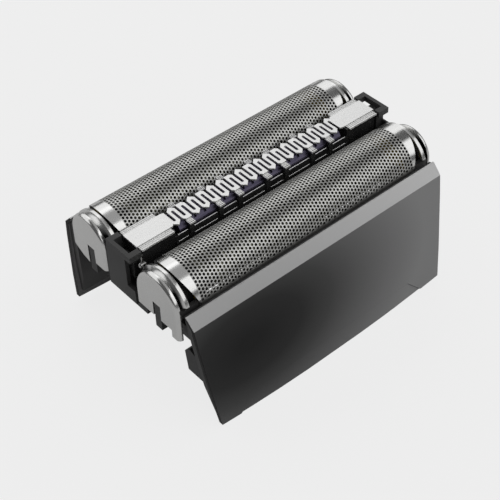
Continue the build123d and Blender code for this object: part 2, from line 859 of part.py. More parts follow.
# Trimmer drive arm: a plastic foot under the blade that the shaver's middle pin pushes
with BuildPart() as trimmer_drive_arm:
    block(
        (-drive_arm_length / 2, drive_arm_length / 2),
        (-drive_arm_width / 2, drive_arm_width / 2),
        (trimmer_z - drive_arm_drop, channel_floor_z + 2 * float_gap),
    )
    hollow(
        (-drive_arm_length / 6, drive_arm_length / 6),
        (-drive_arm_width, drive_arm_width),
        (trimmer_z - drive_arm_drop, trimmer_z - drive_arm_drop / 3),
    )


# Blade springs: two low leaves on the channel floor that press the blade up to the comb
with BuildPart() as blade_springs:
    for end in (-1, 1):
        centre = end * (slot_half + plate_in_x) / 2
        with BuildSketch(Plane.XZ):
            bow(
                (centre - blade_leaf_length / 2, channel_floor_z + seat_gap / 2),
                2 * float_gap - leaf_thickness - seat_gap,
                (centre + blade_leaf_length / 2, channel_floor_z + seat_gap / 2),
            )
        extrude(amount=blade_stem_width / 3, both=True)


front_pieces = {
    "front_foil": (foil, "rear_foil"),
    "front_foil_frame": (foil_frame, "rear_foil_frame"),
    "front_left_cap": (tab_cap, "rear_right_cap"),
    "front_right_cap": (slant_cap, "rear_left_cap"),
    "front_cutter_blades": (cutter_blades, "rear_cutter_blades"),
    "front_cutter_carrier": (cutter_carrier, "rear_cutter_carrier"),
    "front_drive_socket": (drive_socket, "rear_drive_socket"),
    "front_cutter_spring": (cutter_spring, "rear_cutter_spring"),
    "front_float_springs": (float_springs, "rear_float_springs"),
}
middle_pieces = {
    "front_cover": front_cover,
    "rear_cover": rear_cover,
    "chassis": chassis,
    "trimmer_springs": trimmer_springs,
    "trimmer_frame": trimmer_frame,
    "trimmer_comb": trimmer_comb,
    "trimmer_blade": trimmer_blade,
    "trimmer_drive_arm": trimmer_drive_arm,
    "blade_springs": blade_springs,
}

os.makedirs("parts", exist_ok=True)
for name, piece in middle_pieces.items():
    piece.part.label = name
    export_step(piece.part, f"parts/{name}.step")
for name, (piece, rear_name) in front_pieces.items():
    piece.part.label = name
    export_step(piece.part, f"parts/{name}.step")
    with BuildPart() as rear_piece:
        add(piece.part.rotate(Axis.Z, 180))
    rear_piece.part.label = rear_name
    export_step(rear_piece.part, f"parts/{rear_name}.step")
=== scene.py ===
import math

import bpy
from mathutils import Matrix, Vector


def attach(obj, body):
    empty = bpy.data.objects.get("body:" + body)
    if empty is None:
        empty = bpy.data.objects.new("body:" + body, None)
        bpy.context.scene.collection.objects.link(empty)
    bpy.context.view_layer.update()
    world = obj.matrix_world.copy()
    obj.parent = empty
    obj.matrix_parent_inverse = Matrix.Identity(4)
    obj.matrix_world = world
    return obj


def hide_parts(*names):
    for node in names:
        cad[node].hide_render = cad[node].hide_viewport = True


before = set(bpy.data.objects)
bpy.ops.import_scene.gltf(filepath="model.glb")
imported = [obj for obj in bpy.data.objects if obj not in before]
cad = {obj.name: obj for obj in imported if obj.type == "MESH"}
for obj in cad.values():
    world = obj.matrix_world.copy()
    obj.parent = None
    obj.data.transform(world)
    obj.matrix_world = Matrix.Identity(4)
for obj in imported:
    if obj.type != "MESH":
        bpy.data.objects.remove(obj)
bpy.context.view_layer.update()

# Chassis
# One black moulding with a fine spark-eroded skin: the inner side walls with their snap hooks,
# the end walls, the spring shelves, and the two towers that the trimmer slides between.
mm = 0.001
sharp_angle = math.radians(30)
flat_angle = math.radians(1)
solid_gap = 0.002 * mm
grain_share = 0.35
cloud_share = 0.65
skin_relief = 0.02 * mm
chassis_edge = 0.07 * mm


def pick_only(*pieces):
    """Selects these objects and nothing else, with the last one active."""
    bpy.ops.object.select_all(action="DESELECT")
    for piece in pieces:
        piece.select_set(True)
    bpy.context.view_layer.objects.active = pieces[-1]


def last_made(name):
    """Names the object that the last operator added."""
    piece = bpy.context.view_layer.objects.active
    piece.name = name
    piece.data.name = name
    return piece


def level_flats(piece):
    """Keeps the flat faces between rounded edges looking flat."""
    flats = piece.modifiers.new("flats", "WEIGHTED_NORMAL")
    flats.keep_sharp = True
    bpy.ops.object.modifier_apply(modifier=flats.name)


def round_edges(piece, width, segments=2):
    """Rounds the sharp edges for good and shades the rest smooth."""
    pick_only(piece)
    bevel = piece.modifiers.new("edges", "BEVEL")
    bevel.width = width
    bevel.segments = segments
    bevel.limit_method = "ANGLE"
    bevel.angle_limit = sharp_angle
    bpy.ops.object.modifier_apply(modifier=bevel.name)
    bpy.ops.object.shade_smooth_by_angle(angle=sharp_angle)
    level_flats(piece)


def blank_from(node_name):
    """Loose copy of a solid with its flat faces joined up."""
    pick_only(cad[node_name])
    bpy.ops.object.duplicate()
    piece = last_made(node_name + "_skin")
    piece.parent = None
    for key in [key for key in piece.keys() if key.startswith("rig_")]:
        del piece[key]
    bpy.ops.object.mode_set(mode="EDIT")
    bpy.ops.mesh.select_all(action="SELECT")
    bpy.ops.mesh.remove_doubles(threshold=solid_gap)
    bpy.ops.mesh.dissolve_limited(angle_limit=flat_angle)
    bpy.ops.mesh.customdata_custom_splitnormals_clear()
    bpy.ops.object.mode_set(mode="OBJECT")
    return piece


def wear(piece, body, finish):
    """Gives a piece its material and the body it moves with."""
    piece.data.materials.clear()
    piece.data.materials.append(finish)
    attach(piece, body)


def dressed(node_name, body, finish, edge):
    """Puts a copy of a solid in its place, with its edges rounded and its finish on."""
    piece = blank_from(node_name)
    round_edges(piece, edge)
    wear(piece, body, finish)
    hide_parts(node_name)


def group_sockets(group, numbers, outputs):
    """Number inputs with their usual values, and the outputs, of a shared effect."""
    for name, usual in numbers:
        socket = group.interface.new_socket(
            name=name, in_out="INPUT", socket_type="NodeSocketFloat"
        )
        socket.default_value = usual
    for name, kind in outputs:
        group.interface.new_socket(name=name, in_out="OUTPUT", socket_type=kind)


moulded_skin = bpy.data.node_groups.new("moulded_skin", "ShaderNodeTree")
group_sockets(
    moulded_skin,
    [("Grain per metre", 9000.0), ("Depth", 0.2), ("Cloud per metre", 90.0)],
    [("Shade", "NodeSocketFloat"), ("Normal", "NodeSocketVector")],
)
knots = moulded_skin.nodes
wires = moulded_skin.links
skin_in = knots.new("NodeGroupInput")
skin_out = knots.new("NodeGroupOutput")
skin_place = knots.new("ShaderNodeTexCoord")
skin_grain = knots.new("ShaderNodeTexNoise")
skin_cloud = knots.new("ShaderNodeTexNoise")
for noise, rate in ((skin_grain, "Grain per metre"), (skin_cloud, "Cloud per metre")):
    noise.inputs["Detail"].default_value = 3.0
    wires.new(skin_place.outputs["Object"], noise.inputs["Vector"])
    wires.new(skin_in.outputs[rate], noise.inputs["Scale"])
skin_part = knots.new("ShaderNodeMath")
skin_part.operation = "MULTIPLY"
skin_part.inputs[1].default_value = cloud_share
skin_shade = knots.new("ShaderNodeMath")
skin_shade.operation = "MULTIPLY_ADD"
skin_shade.inputs[1].default_value = grain_share
skin_bump = knots.new("ShaderNodeBump")
skin_bump.inputs["Distance"].default_value = skin_relief
wires.new(skin_cloud.outputs["Fac"], skin_part.inputs[0])
wires.new(skin_grain.outputs["Fac"], skin_shade.inputs[0])
wires.new(skin_part.outputs[0], skin_shade.inputs[2])
wires.new(skin_grain.outputs["Fac"], skin_bump.inputs["Height"])
wires.new(skin_in.outputs["Depth"], skin_bump.inputs["Strength"])
wires.new(skin_shade.outputs[0], skin_out.inputs["Shade"])
wires.new(skin_bump.outputs["Normal"], skin_out.inputs["Normal"])


def blend_between(tree, mask, low, high, low_at=0.35, high_at=0.65):
    """Colour that runs from one tone to another as a mask rises."""
    ramp = tree.nodes.new("ShaderNodeValToRGB")
    ramp.color_ramp.elements[0].position = low_at
    ramp.color_ramp.elements[0].color = (*low, 1.0)
    ramp.color_ramp.elements[1].position = high_at
    ramp.color_ramp.elements[1].color = (*high, 1.0)
    tree.links.new(mask, ramp.inputs["Fac"])
    return ramp.outputs["Color"]


def number_between(tree, mask, low, high, low_at=0.35, high_at=0.65, clamp=True):
    """Number that runs from one value to another as a mask rises."""
    span = tree.nodes.new("ShaderNodeMapRange")
    span.clamp = clamp
    span.inputs["From Min"].default_value = low_at
    span.inputs["From Max"].default_value = high_at
    span.inputs["To Min"].default_value = low
    span.inputs["To Max"].default_value = high
    tree.links.new(mask, span.inputs["Value"])
    return span.outputs["Result"]


def new_finish(name):
    """Material, with its node tree and its shader at hand."""
    finish = bpy.data.materials.new(name)
    finish.use_nodes = True
    return finish, finish.node_tree, finish.node_tree.nodes["Principled BSDF"]


def effect_in(tree, group, settings):
    """Shared effect placed in a material with the material's own values."""
    effect = tree.nodes.new("ShaderNodeGroup")
    effect.node_tree = group
    for socket, value in settings.items():
        effect.inputs[socket].default_value = value
    return effect


def finish_from(name, group, settings, dark, light, rough, metallic=0.0):
    """Material whose tone, roughness and relief come from a shared effect."""
    finish, tree, shader = new_finish(name)
    effect = effect_in(tree, group, settings)
    shade = effect.outputs["Shade"]
    tree.links.new(blend_between(tree, shade, dark, light), shader.inputs["Base Color"])
    tree.links.new(number_between(tree, shade, *rough), shader.inputs["Roughness"])
    tree.links.new(effect.outputs["Normal"], shader.inputs["Normal"])
    shader.inputs["Metallic"].default_value = metallic
    return finish


black_moulding = finish_from(
    "black_moulding", moulded_skin,
    {"Grain per metre": 9000.0, "Depth": 0.25, "Cloud per metre": 120.0},
    dark=(0.035, 0.035, 0.035), light=(0.055, 0.055, 0.055), rough=(0.42, 0.55),
)
dressed("chassis", "head", black_moulding, chassis_edge)

# Tower clips
# A bent leaf of spring steel with a rounded foot, in the side opening of each tower. The
# trimmer's end holds its top, so it slides in the opening as the trimmer floats.
clip_x = 20.65 * mm
clip_y = 2.0 * mm
clip_foot_z = 20.05 * mm
clip_top_z = 21.8 * mm
clip_foot_length = 1.1 * mm
clip_foot_width = 0.7 * mm
clip_foot_edge = 0.3 * mm
clip_strip_width = 0.26 * mm
clip_strip_edge = 0.06 * mm
steel_relief = 0.01 * mm
drawn_steel = bpy.data.node_groups.new("drawn_steel", "ShaderNodeTree")
group_sockets(
    drawn_steel,
    [("Lines per metre", 4000.0), ("Stretch", 0.06), ("Depth", 0.1)],
    [("Shade", "NodeSocketFloat"), ("Normal", "NodeSocketVector")],
)
knots = drawn_steel.nodes
wires = drawn_steel.links
steel_in = knots.new("NodeGroupInput")
steel_out = knots.new("NodeGroupOutput")
steel_place = knots.new("ShaderNodeTexCoord")
steel_apart = knots.new("ShaderNodeSeparateXYZ")
steel_along = knots.new("ShaderNodeMath")
steel_along.operation = "MULTIPLY"
steel_back = knots.new("ShaderNodeCombineXYZ")
steel_noise = knots.new("ShaderNodeTexNoise")
steel_noise.inputs["Detail"].default_value = 4.0
steel_bump = knots.new("ShaderNodeBump")
steel_bump.inputs["Distance"].default_value = steel_relief
wires.new(steel_place.outputs["Object"], steel_apart.inputs[0])
wires.new(steel_apart.outputs["X"], steel_along.inputs[0])
wires.new(steel_in.outputs["Stretch"], steel_along.inputs[1])
wires.new(steel_along.outputs[0], steel_back.inputs["X"])
wires.new(steel_apart.outputs["Y"], steel_back.inputs["Y"])
wires.new(steel_apart.outputs["Z"], steel_back.inputs["Z"])
wires.new(steel_back.outputs[0], steel_noise.inputs["Vector"])
wires.new(steel_in.outputs["Lines per metre"], steel_noise.inputs["Scale"])
wires.new(steel_noise.outputs["Fac"], steel_bump.inputs["Height"])
wires.new(steel_in.outputs["Depth"], steel_bump.inputs["Strength"])
wires.new(steel_noise.outputs["Fac"], steel_out.inputs["Shade"])
wires.new(steel_bump.outputs["Normal"], steel_out.inputs["Normal"])


def settle(piece):
    """Puts the piece's place into its mesh, so that its object stands unturned at the origin."""
    pick_only(piece)
    bpy.ops.object.transform_apply(location=True, rotation=True, scale=True)


def block(name, middle, size):
    """Plain block, to be shaped further."""
    bpy.ops.object.select_all(action="DESELECT")
    bpy.ops.mesh.primitive_cube_add(size=1.0, location=middle)
    piece = last_made(name)
    piece.scale = size
    settle(piece)
    return piece


def one_piece(name, *parts):
    """Joins several pieces to the last of them."""
    pick_only(*parts)
    bpy.ops.object.join()
    return last_made(name)


spring_steel = finish_from(
    "spring_steel", drawn_steel, {"Lines per metre": 5000.0, "Stretch": 0.2, "Depth": 0.1},
    dark=(0.55, 0.55, 0.54), light=(0.68, 0.68, 0.67), rough=(0.25, 0.38), metallic=1.0,
)
for end, hand in ((-1, "left"), (1, "right")):
    foot = block(
        "clip_foot", (end * clip_x, end * clip_y, clip_foot_z),
        (clip_foot_length, clip_foot_width, clip_foot_width),
    )
    round_edges(foot, clip_foot_edge, 4)
    strip = block(
        "clip_strip", (end * clip_x, end * clip_y, (clip_foot_z + clip_top_z) / 2),
        (clip_strip_width, clip_strip_width, clip_top_z - clip_foot_z),
    )
    round_edges(strip, clip_strip_edge)
    clip = one_piece(f"tower_clip_{hand}", foot, strip)
    wear(clip, "trimmer", spring_steel)

# Leaf springs
# Plain strips of spring steel, bowed between what carries them and what floats on them. They are
# hidden, so they stay as the solids are.
for node_name in (
    "front_float_springs", "rear_float_springs", "trimmer_springs",
    "front_cutter_spring", "rear_cutter_spring", "blade_springs",
):
    cad[node_name].material_slots[0].material = spring_steel

# Side covers
# Thin outer shells in gloss black, with a satin chamfer on top. Their colour carries painted
# light: a painted reflection that pales from a dark spot towards one end and upwards, a painted
# grey reflection on the chamfer, a painted sheen on the sunk panel, and painted shade on the
# down-facing edges and the ends. One material parts the chamfer by the way it faces and the sunk
# panel by its depth.
cover_black = (0.0015, 0.0015, 0.0017)
# These cover tones paint a reflection: the gloss black pales from a dark spot towards one end and
# upwards.
cover_reflection_dim = (0.018, 0.018, 0.018)
cover_reflection_mid = (0.066, 0.066, 0.066)
cover_reflection_pale = (0.33, 0.33, 0.332)
# Down-facing edges and the ends of the cover are painted dark: painted shade.
cover_painted_shade = (0.012, 0.012, 0.012)
# The sunk panel is painted a little lighter: a painted sheen.
panel_painted_sheen = (0.03, 0.03, 0.03)
# The chamfer's grey is a painted reflection of the bright room on the black gloss, and it pales
# the same way as the face.
chamfer_reflection_grey = (0.52, 0.52, 0.52)
chamfer_reflection_pale = (0.84, 0.84, 0.84)
cover_rough = 0.12
band_rough = 0.42
cover_sheen = 0.04
cover_edge = 0.1 * mm
cover_lean = math.radians(8.64)
cover_face_y = 14.56 * mm
band_low_z = 17.73 * mm
panel_depth = 0.15 * mm
reflection_dark_x = -14.0 * mm
reflection_dark_z = 11.0 * mm
reflection_full_x = 22.0 * mm
reflection_full_z = 32.7 * mm
reflection_dim_at = 0.25
reflection_mid_at = 0.4
cover_reflection_fade = (0.05, 0.9)
chamfer_reflection_fade = (0.1, 1.0)
panel_from = 0.7
panel_full = 0.3
band_facing = (0.4, 0.5)
end_shade_facing = (0.5, 0.7)
under_shade_facing = (-0.3, -0.1)


def apart(tree, kind):
    """X, Y and Z of a point's place on the piece, or of the way it faces."""
    place = tree.nodes.new("ShaderNodeTexCoord")
    parts = tree.nodes.new("ShaderNodeSeparateXYZ")
    tree.links.new(place.outputs[kind], parts.inputs[0])
    return parts.outputs


def worked_out(tree, operation, *values):
    """Result of one sum on masks or plain numbers."""
    step = tree.nodes.new("ShaderNodeMath")
    step.operation = operation
    for socket, value in zip(step.inputs, values):
        if isinstance(value, float):
            socket.default_value = value
        else:
            tree.links.new(value, socket)
    return step.outputs[0]


def laid_over(tree, mask, under, over, way="MIX"):
    """Colour with another over it where a mask is high. Each is a socket or a plain colour."""
    layer = tree.nodes.new("ShaderNodeMix")
    layer.data_type = "RGBA"
    layer.blend_type = way
    tree.links.new(mask, layer.inputs["Factor"])
    for socket, colour in ((layer.inputs["A"], under), (layer.inputs["B"], over)):
        if isinstance(colour, tuple):
            socket.default_value = (*colour, 1.0)
        else:
            tree.links.new(colour, socket)
    return layer.outputs["Result"]


gloss_cover, cover_tree, cover_shader = new_finish("gloss_cover")
cover_effect = effect_in(
    cover_tree, moulded_skin, {"Grain per metre": 5000.0, "Depth": 0.02, "Cloud per metre": 60.0}
)
facing = apart(cover_tree, "Normal")
place = apart(cover_tree, "Object")
band_mask = number_between(cover_tree, facing["Z"], 0.0, 1.0, *band_facing)
side_sign = worked_out(cover_tree, "SIGN", place["Y"])
signed_x = worked_out(cover_tree, "MULTIPLY", place["X"], side_sign)
along = worked_out(cover_tree, "MULTIPLY", signed_x, -1.0)
# How far a point lies from the darkest spot of the painted reflection, along the cover and
# upwards.
reflection_spot = cover_tree.nodes.new("ShaderNodeCombineXYZ")
for way, axis, start, stop in (
    (along, "X", reflection_dark_x, reflection_full_x), (place["Z"], "Z", reflection_dark_z, reflection_full_z),
):
    faded = number_between(cover_tree, way, 0.0, 1.0, start, stop, clamp=False)
    cover_tree.links.new(faded, reflection_spot.inputs[axis])
reflection_reach = cover_tree.nodes.new("ShaderNodeVectorMath")
reflection_reach.operation = "LENGTH"
cover_tree.links.new(reflection_spot.outputs[0], reflection_reach.inputs[0])
fade = reflection_reach.outputs["Value"]
face_y = worked_out(cover_tree, "ABSOLUTE", place["Y"])
face_depth = worked_out(
    cover_tree, "ADD",
    worked_out(cover_tree, "MULTIPLY", face_y, math.cos(cover_lean)),
    worked_out(cover_tree, "MULTIPLY", place["Z"], math.sin(cover_lean)),
)
face_plane = cover_face_y * math.cos(cover_lean) + band_low_z * math.sin(cover_lean)
panel_mask = number_between(
    cover_tree, face_depth, 1.0, 0.0,
    face_plane - panel_from * panel_depth, face_plane - panel_full * panel_depth,
)
# Painted reflection on the up-facing chamfer.
chamfer_reflection_tone = blend_between(cover_tree, fade, chamfer_reflection_grey, chamfer_reflection_pale, *chamfer_reflection_fade)
# Painted reflection on the cover's face: near black at the dark spot, paler further away.
cover_reflection_tone = blend_between(cover_tree, fade, cover_black, cover_reflection_pale, *cover_reflection_fade)
for at, tone in ((reflection_mid_at, cover_reflection_mid), (reflection_dim_at, cover_reflection_dim)):
    cover_reflection_tone.node.color_ramp.elements.new(at).color = (*tone, 1.0)
# Painted shade on the ends and under the down-facing edges.
end_shade_mask = number_between(
    cover_tree, worked_out(cover_tree, "ABSOLUTE", facing["X"]), 0.0, 1.0, *end_shade_facing
)
under_shade_mask = number_between(cover_tree, facing["Z"], 1.0, 0.0, *under_shade_facing)
painted_shade_mask = worked_out(cover_tree, "MAXIMUM", end_shade_mask, under_shade_mask)
# Painted sheen added over the sunk panel.
face_tone = laid_over(cover_tree, panel_mask, cover_reflection_tone, panel_painted_sheen, "ADD")
outer_tone = laid_over(cover_tree, band_mask, face_tone, chamfer_reflection_tone)
whole_tone = laid_over(cover_tree, painted_shade_mask, outer_tone, cover_painted_shade)
roughness = number_between(cover_tree, band_mask, cover_rough, band_rough, 0.0, 1.0)
cover_tree.links.new(whole_tone, cover_shader.inputs["Base Color"])
cover_tree.links.new(roughness, cover_shader.inputs["Roughness"])
cover_tree.links.new(cover_effect.outputs["Normal"], cover_shader.inputs["Normal"])
cover_shader.inputs["Specular IOR Level"].default_value = cover_sheen
for side in ("front", "rear"):
    dressed(f"{side}_cover", "head", gloss_cover, cover_edge)

# Cutters
# Thin steel lamellae, clamped side by side on a strip and ground round together. They sit on an
# amber carrier and seat, painted black as shade wherever they don't face the ends, and the
# carrier has a dark socket for the drive pin clipped under it.
lamella_pitch = 0.9752 * mm
lamella_count = 32
lamella_thickness = 0.36 * mm
lamella_radius = 4.25 * mm
lamella_wall = 1.3 * mm
lamella_foot = 0.9 * mm
strip_half_width = 3.3 * mm
strip_height = 0.32 * mm
strip_drop = 0.13 * mm
strip_spare = 0.8 * mm
strip_edge = 0.06 * mm
seat_half_length = 17.5 * mm
seat_half_width = 3.25 * mm
seat_height = 0.2 * mm
seat_drop = 0.16 * mm
seat_edge = 0.05 * mm
# Where the carrier and seat don't face the ends they are painted black: painted shade under the
# foil.
carrier_painted_shade = (0.008, 0.008, 0.008)
carrier_shade_facing = (0.4, 0.6)
cutter_axis_y = 6.95 * mm
cutter_axis_z = 18.45 * mm
weld_gap = 0.001 * mm
sweep_step = 4


def section(name, x0, x1, inner, outer, out):
    """Flat cut through a band, between two places on X and two radii."""
    bpy.ops.object.select_all(action="DESELECT")
    middle = ((x0 + x1) / 2, out * (inner + outer) / 2, 0)
    bpy.ops.mesh.primitive_plane_add(size=1.0, location=middle)
    piece = last_made(name)
    piece.scale = (x1 - x0, outer - inner, 1)
    settle(piece)
    return piece


def weld(piece):
    """Merges the points that meet and turns the faces outwards."""
    pick_only(piece)
    bpy.ops.object.mode_set(mode="EDIT")
    bpy.ops.mesh.select_all(action="SELECT")
    bpy.ops.mesh.remove_doubles(threshold=weld_gap)
    bpy.ops.mesh.normals_make_consistent(inside=False)
    bpy.ops.object.mode_set(mode="OBJECT")


def sweep_up(piece, out, sweep):
    """Makes a section solid by sweeping it up round the X axis, from the front or the rear."""
    pick_only(piece)
    bpy.ops.object.mode_set(mode="EDIT")
    bpy.ops.mesh.select_all(action="SELECT")
    steps = max(4, round(math.degrees(sweep) / sweep_step))
    bpy.ops.mesh.spin(steps=steps, angle=sweep, center=(0, 0, 0), axis=(-out, 0, 0))
    bpy.ops.object.mode_set(mode="OBJECT")
    weld(piece)


def arch(name, x0, x1, inner, outer, out=-1, sweep=math.pi):
    """Plain band swept up round the X axis."""
    piece = section(name, x0, x1, inner, outer, out)
    sweep_up(piece, out, sweep)
    return piece


def trim(piece, place, normal, closed=True):
    """Cuts off what lies beyond a plane, and closes the cut of a solid."""
    pick_only(piece)
    bpy.ops.object.mode_set(mode="EDIT")
    bpy.ops.mesh.select_all(action="SELECT")
    bpy.ops.mesh.bisect(
        plane_co=place, plane_no=Vector(normal).normalized(), use_fill=closed,
        clear_outer=True, threshold=weld_gap,
    )
    bpy.ops.object.mode_set(mode="OBJECT")


def repeat(piece, count, step):
    """Row of copies of a piece."""
    pick_only(piece)
    array = piece.modifiers.new("row", "ARRAY")
    array.count = count
    array.use_relative_offset = False
    array.use_constant_offset = True
    array.constant_offset_displace = step
    bpy.ops.object.modifier_apply(modifier=array.name)


def turned_copy(piece, name):
    """Copy of a front piece for the rear, turned half round."""
    pick_only(piece)
    bpy.ops.object.duplicate()
    twin = last_made(name)
    twin.rotation_euler = (0, 0, math.pi)
    settle(twin)
    return twin


cutter_steel = finish_from(
    "cutter_steel", drawn_steel, {"Lines per metre": 3000.0, "Stretch": 1.0, "Depth": 0.2},
    dark=(0.19, 0.19, 0.145), light=(0.30, 0.30, 0.235), rough=(0.28, 0.42), metallic=1.0,
)
socket_moulding = finish_from(
    "socket_moulding", moulded_skin,
    {"Grain per metre": 8000.0, "Depth": 0.2, "Cloud per metre": 150.0},
    dark=(0.05, 0.05, 0.055), light=(0.09, 0.09, 0.10), rough=(0.35, 0.5),
)
amber_moulding = finish_from(
    "amber_moulding", moulded_skin,
    {"Grain per metre": 6000.0, "Depth": 0.2, "Cloud per metre": 200.0},
    dark=(0.24, 0.17, 0.02), light=(0.40, 0.30, 0.05), rough=(0.35, 0.5),
)
amber_tree = amber_moulding.node_tree
amber_base = amber_tree.nodes["Principled BSDF"].inputs["Base Color"]
# Painted shade: black on every face of the amber moulding that doesn't face along X.
sideways = worked_out(amber_tree, "ABSOLUTE", apart(amber_tree, "Normal")["X"])
amber_shows_mask = number_between(amber_tree, sideways, 0.0, 1.0, *carrier_shade_facing)
amber_tone = laid_over(amber_tree, amber_shows_mask, carrier_painted_shade, amber_base.links[0].from_socket)
amber_tree.links.new(amber_tone, amber_base)

first_x = -(lamella_count - 1) / 2 * lamella_pitch
lamellae = arch(
    "lamella", first_x - lamella_thickness / 2, first_x + lamella_thickness / 2,
    lamella_radius - lamella_wall, lamella_radius,
)
trim(lamellae, (0, 0, lamella_foot), (0, 0, -1))
repeat(lamellae, lamella_count, (lamella_pitch, 0, 0))
clamp_strip = block(
    "clamp_strip", (0, 0, lamella_foot - strip_drop),
    (-2 * first_x + strip_spare, 2 * strip_half_width, strip_height),
)
round_edges(clamp_strip, strip_edge)
front_lamellae = one_piece("front_lamellae", clamp_strip, lamellae)
bpy.ops.object.shade_smooth_by_angle(angle=sharp_angle)
front_lamellae.location = (0, -cutter_axis_y, cutter_axis_z)
settle(front_lamellae)
rear_lamellae = turned_copy(front_lamellae, "rear_lamellae")
front_seat = block(
    "front_blade_seat", (0, -cutter_axis_y, cutter_axis_z + lamella_foot - seat_drop),
    (2 * seat_half_length, 2 * seat_half_width, seat_height),
)
round_edges(front_seat, seat_edge)
rear_seat = turned_copy(front_seat, "rear_blade_seat")
for side, row, seat in (
    ("front", front_lamellae, front_seat), ("rear", rear_lamellae, rear_seat),
):
    wear(seat, f"{side}_cutter", amber_moulding)
    wear(row, f"{side}_cutter", cutter_steel)
    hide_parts(f"{side}_cutter_blades")
    cad[f"{side}_cutter_carrier"].material_slots[0].material = amber_moulding
    cad[f"{side}_drive_socket"].material_slots[0].material = socket_moulding

# Foil frames
# Black mouldings inside the foils: rails along the foil's legs, crossbars over the springs, and
# end plates whose guide ribs run down through the caps' notches.
foil_frame_edge = 0.05 * mm
for side in ("front", "rear"):
    dressed(
        f"{side}_foil_frame", f"{side}_foil_unit", black_moulding, foil_frame_edge
    )

# Foils
# Electroformed steel sheet, rolled to an arch. Round holes stand in close columns round it,
# between two polished end bands and two plain edge strips, where the frame holds the sheet.
foil_radius = 4.5 * mm
foil_axis_y = 6.95 * mm
foil_axis_z = 18.45 * mm
foil_end_x = 20.53 * mm
foil_leg = 0.5 * mm
foil_recess = 2.1 * mm
foil_bend = math.radians(35)
sheet = 0.06 * mm
band_sheet = 0.08 * mm
proud = 0.004 * mm
strip_lap = 0.03 * mm
column_step = 0.4876 * mm
hole_step = 0.501 * mm
hole_radius = 0.2 * mm
hole_sides = 12
full_columns = 39
column_holes = 25
cell_radius = hole_step / math.sqrt(3)
cell_stretch = column_step / (1.5 * cell_radius)
mesh_half = full_columns * column_step
sheet_span = column_holes * hole_step
sheet_radius = foil_radius - proud - sheet / 2
mesh_ends = (mesh_half - 0.25 * mm, mesh_half - 0.2 * mm)
mesh_rough = 0.4
band_polish = 0.2


def cell(x, z, pierced):
    """One six-sided cell of the flat sheet, plain or with its round hole."""
    bpy.ops.object.select_all(action="DESELECT")
    bpy.ops.mesh.primitive_circle_add(
        vertices=6, radius=cell_radius, fill_type="NOTHING" if pierced else "NGON",
        rotation=(math.pi / 2, math.pi / 6, 0),
    )
    piece = last_made("foil_cell")
    settle(piece)
    piece.scale = (cell_stretch, 1, 1)
    settle(piece)
    bpy.ops.object.mode_set(mode="EDIT")
    bpy.ops.mesh.select_all(action="SELECT")
    bpy.ops.mesh.subdivide(number_cuts=1)
    if pierced:
        bpy.ops.mesh.primitive_circle_add(
            vertices=hole_sides, radius=hole_radius, fill_type="NOTHING",
            rotation=(math.pi / 2, 0, 0),
        )
        bpy.ops.mesh.select_all(action="SELECT")
        bpy.ops.mesh.bridge_edge_loops()
    bpy.ops.object.mode_set(mode="OBJECT")
    piece.location = (x, 0, z)
    settle(piece)
    return piece


def column(x, cells, pierced):
    """Column of cells, one above the other, centred on the sheet's middle line."""
    piece = cell(x, -(cells - 1) / 2 * hole_step, pierced)
    repeat(piece, cells, (0, 0, hole_step))
    return piece


def welded(name, *parts):
    """One piece from several, with the points that meet merged."""
    piece = one_piece(name, *parts)
    weld(piece)
    return piece


def leg(x0, x1, out):
    """Straight leg below the arch, where the frame holds the sheet."""
    middle = ((x0 + x1) / 2, out * (foil_radius - band_sheet / 2), -foil_leg / 2)
    return block("foil_leg", middle, (x1 - x0, band_sheet, foil_leg))


mesh_sheet = welded(
    "mesh_sheet",
    column(0, column_holes, True),
    column(column_step, column_holes - 1, True),
    cell(column_step, -column_holes / 2 * hole_step, False),
    cell(column_step, column_holes / 2 * hole_step, False),
)
repeat(mesh_sheet, full_columns - 1, (2 * column_step, 0, 0))
last_column = column(2 * (full_columns - 1) * column_step, column_holes, True)
left_margin = column(-column_step, column_holes + 1, False)
right_margin = column((2 * full_columns - 1) * column_step, column_holes + 1, False)
mesh_sheet = welded("mesh_sheet", last_column, left_margin, right_margin, mesh_sheet)
mesh_sheet.location = (-(full_columns - 1) * column_step, 0, 0)
settle(mesh_sheet)
for end in (-1, 1):
    trim(mesh_sheet, (end * mesh_half, 0, 0), (end, 0, 0), closed=False)
    trim(mesh_sheet, (0, 0, end * sheet_span / 2), (0, 0, end), closed=False)
roll = mesh_sheet.modifiers.new("arch", "SIMPLE_DEFORM")
roll.deform_method = "BEND"
roll.deform_axis = "X"
roll.angle = sheet_span / sheet_radius
bpy.ops.object.modifier_apply(modifier=roll.name)
mesh_sheet.rotation_euler = (-math.pi / 2, 0, 0)
mesh_sheet.location = (0, 0, sheet_radius)
settle(mesh_sheet)
wall = mesh_sheet.modifiers.new("sheet", "SOLIDIFY")
wall.thickness = sheet
wall.offset = 0.0
bpy.ops.object.modifier_apply(modifier=wall.name)

inner_radius = foil_radius - band_sheet
strip_sweep = (math.pi - sheet_span / sheet_radius) / 2 + strip_lap / foil_radius
plain_parts = []
for end in (-1, 1):
    near_x, far_x = sorted((end * mesh_half, end * foil_end_x))
    band = arch("foil_band", near_x, far_x, inner_radius, foil_radius)
    band = welded("foil_band", leg(near_x, far_x, -1), leg(near_x, far_x, 1), band)
    slope = (end * (foil_radius + foil_leg), 0, -foil_recess)
    trim(band, (end * foil_end_x, 0, foil_radius), slope)
    plain_parts.append(band)
for out in (-1, 1):
    edge = arch("foil_strip", -mesh_half, mesh_half, inner_radius, foil_radius, out, strip_sweep)
    plain_parts += [edge, leg(-mesh_half, mesh_half, out)]
plain_sheet = welded("plain_sheet", *plain_parts)
front_foil = welded("front_foil_sheet", plain_sheet, mesh_sheet)
bpy.ops.object.shade_smooth_by_angle(angle=foil_bend)
front_foil.location = (0, -foil_axis_y, foil_axis_z)
settle(front_foil)
